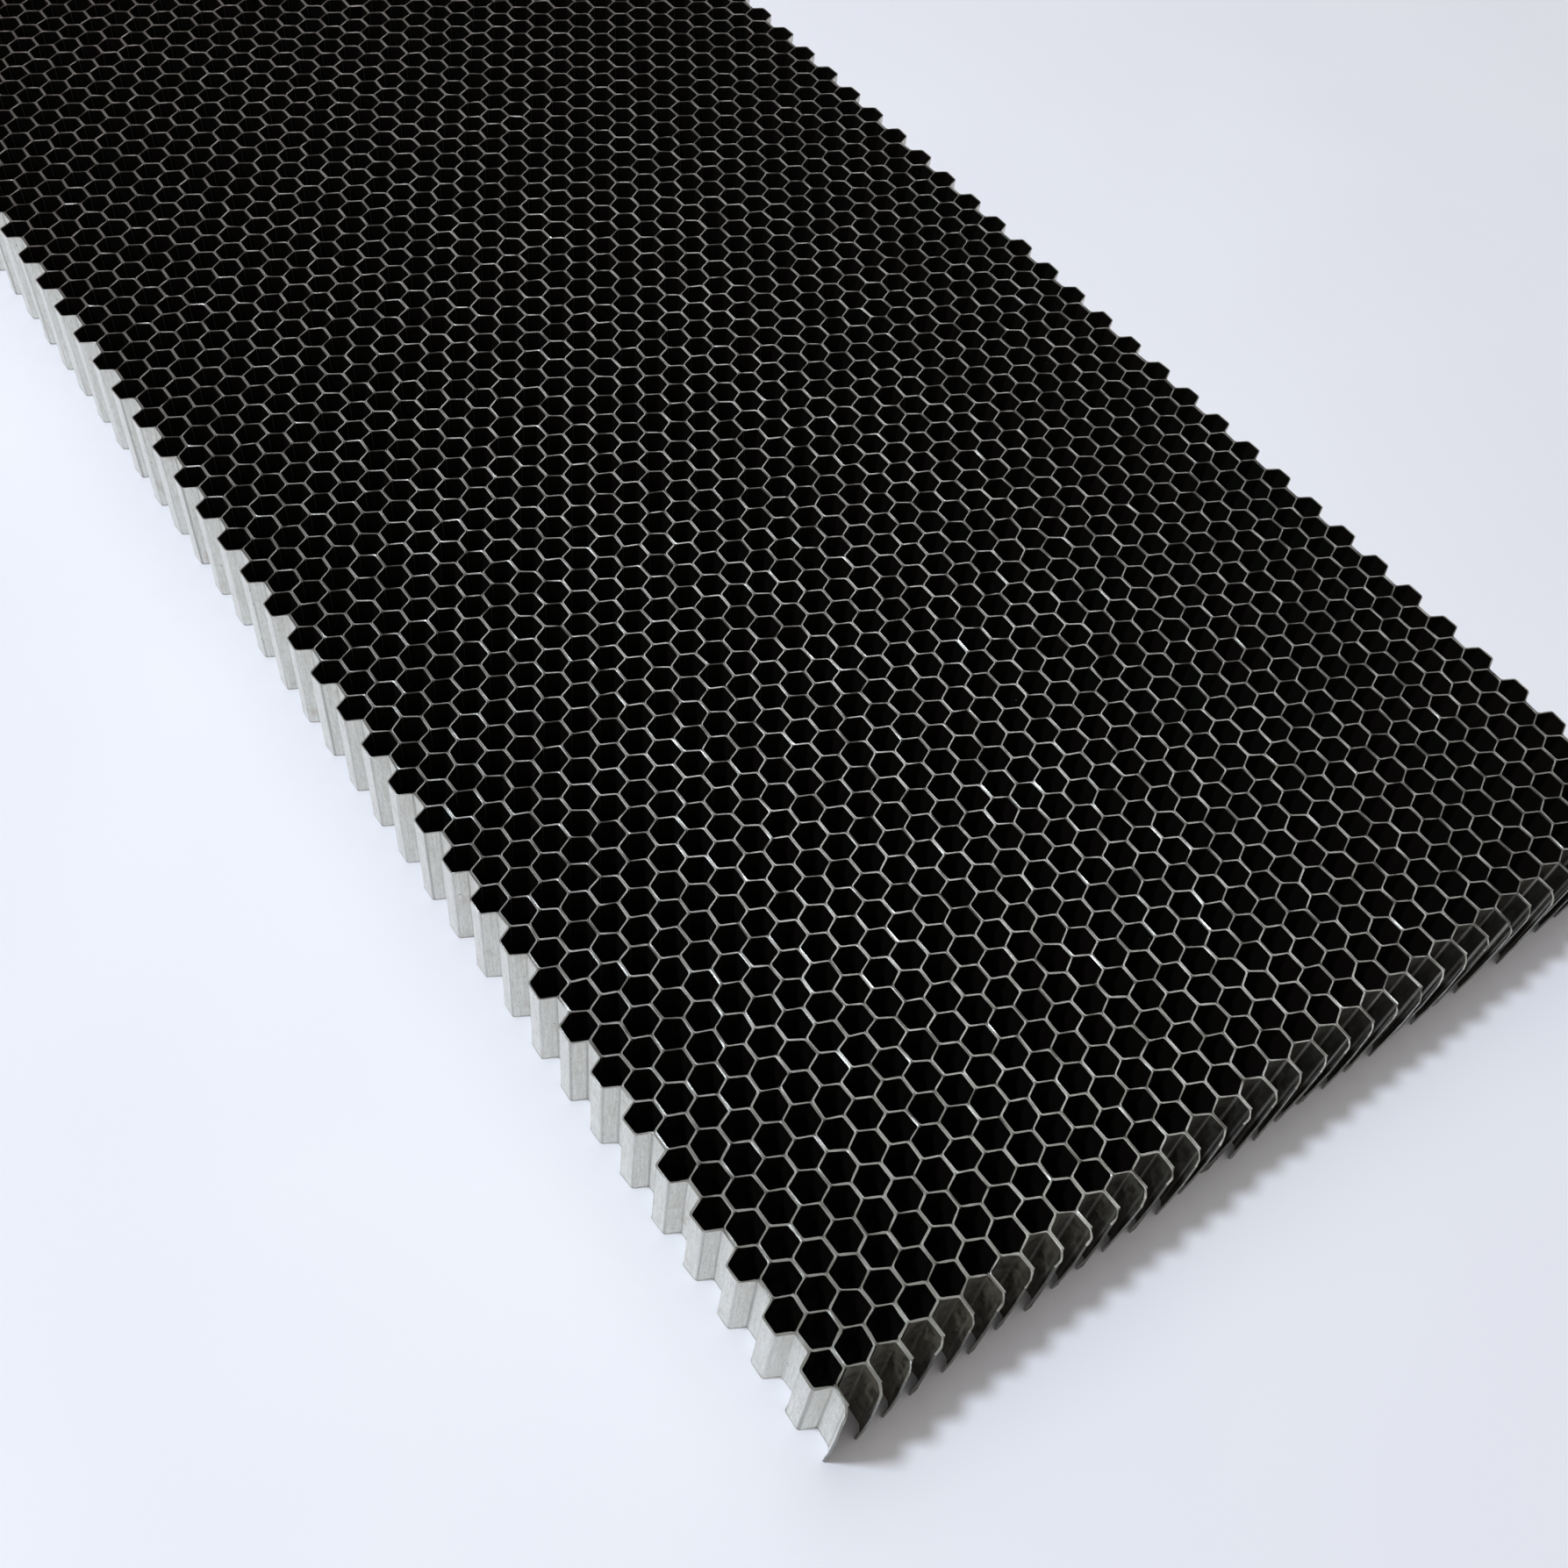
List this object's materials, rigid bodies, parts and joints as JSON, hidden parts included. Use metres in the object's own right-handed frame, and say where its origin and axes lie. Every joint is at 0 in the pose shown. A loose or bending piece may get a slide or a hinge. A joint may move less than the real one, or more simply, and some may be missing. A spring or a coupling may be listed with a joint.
{
  "type": "honeycomb grid",
  "caption": "Bare rectangular slab of expanded aluminium honeycomb: zigzag foils standing on edge, bonded along their flats into small open hexagonal cells that narrow a beam of light.",
  "frame": {"origin": "middle of the underside, on the plane of the lower cut rims", "axes": "+X along the foils (the slab's length), +Y across the foils (its width), +Z along the cells towards the upper cut rims"},
  "size_m": [0.218, 0.1056, 0.012],
  "materials": {
    "black_foil": "black coated, bare cut rims",
    "bare_foil": "mill finish outside"
  },
  "bodies": {
    "root": {"inner_foils_01": "black_foil", "inner_foils_02": "black_foil", "inner_foils_03": "black_foil", "inner_foils_04": "black_foil", "inner_foils_05": "black_foil", "inner_foils_06": "black_foil", "inner_foils_07": "black_foil", "inner_foils_08": "black_foil", "inner_foils_09": "black_foil", "inner_foils_10": "black_foil", "inner_foils_11": "black_foil", "inner_foils_12": "black_foil", "inner_foils_13": "black_foil", "inner_foils_14": "black_foil", "inner_foils_15": "black_foil", "inner_foils_16": "black_foil", "inner_foils_17": "black_foil", "inner_foils_18": "black_foil", "inner_foils_19": "black_foil", "inner_foils_20": "black_foil", "inner_foils_21": "black_foil", "inner_foils_22": "black_foil", "inner_foils_23": "black_foil", "inner_foils_24": "black_foil", "inner_foils_25": "black_foil", "inner_foils_26": "black_foil", "inner_foils_27": "black_foil", "inner_foils_28": "black_foil", "inner_foils_29": "black_foil", "inner_foils_30": "black_foil", "inner_foils_31": "black_foil", "inner_foils_32": "black_foil", "side_foil_left": "bare_foil", "side_foil_right": "bare_foil"}
  },
  "joints": []
}
